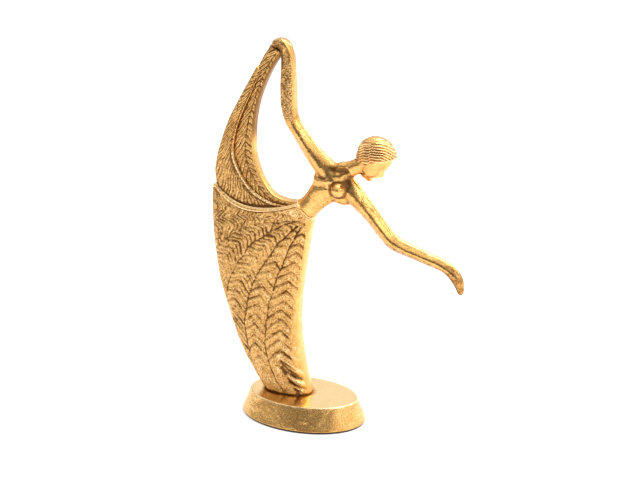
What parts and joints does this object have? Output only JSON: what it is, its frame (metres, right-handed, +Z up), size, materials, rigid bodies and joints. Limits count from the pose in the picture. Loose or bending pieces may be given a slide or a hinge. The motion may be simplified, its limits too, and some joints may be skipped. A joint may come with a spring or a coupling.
{
  "type": "brass dancer figurine",
  "caption": "Tall cast dancer with a feather-patterned fan skirt and a drape held up to a raised hand, brazed from castings and screwed to a flared oval base.",
  "frame": {"origin": "centre of the oval base's underside (the felt's lower face), on the surface that the statue stands on", "axes": "+Z up, +X along the base's long axis towards the lowered arm, +Y away from the figure's front"},
  "size_m": [0.2064, 0.07, 0.3035],
  "materials": {
    "polished_brass": "satin-polished cast brass, warm gold, fine sandy grain",
    "chased_brass": "cast brass with chased feather relief, tarnished in the grooves and bright on the ridges",
    "plated_steel": "zinc-plated steel screws and washers",
    "base_felt": "black wool felt"
  },
  "bodies": {
    "root": {"base_felt": "base_felt", "base_plinth": "polished_brass", "fixing_screw_left": "plated_steel", "fixing_screw_right": "plated_steel", "head": "polished_brass", "inner_drape": "chased_brass", "lowered_arm": "polished_brass", "outer_drape": "chased_brass", "raised_arm": "polished_brass", "skirt": "chased_brass", "spring_washer_left": "plated_steel", "spring_washer_right": "plated_steel", "torso": "polished_brass", "waist_collar": "polished_brass"}
  },
  "joints": []
}
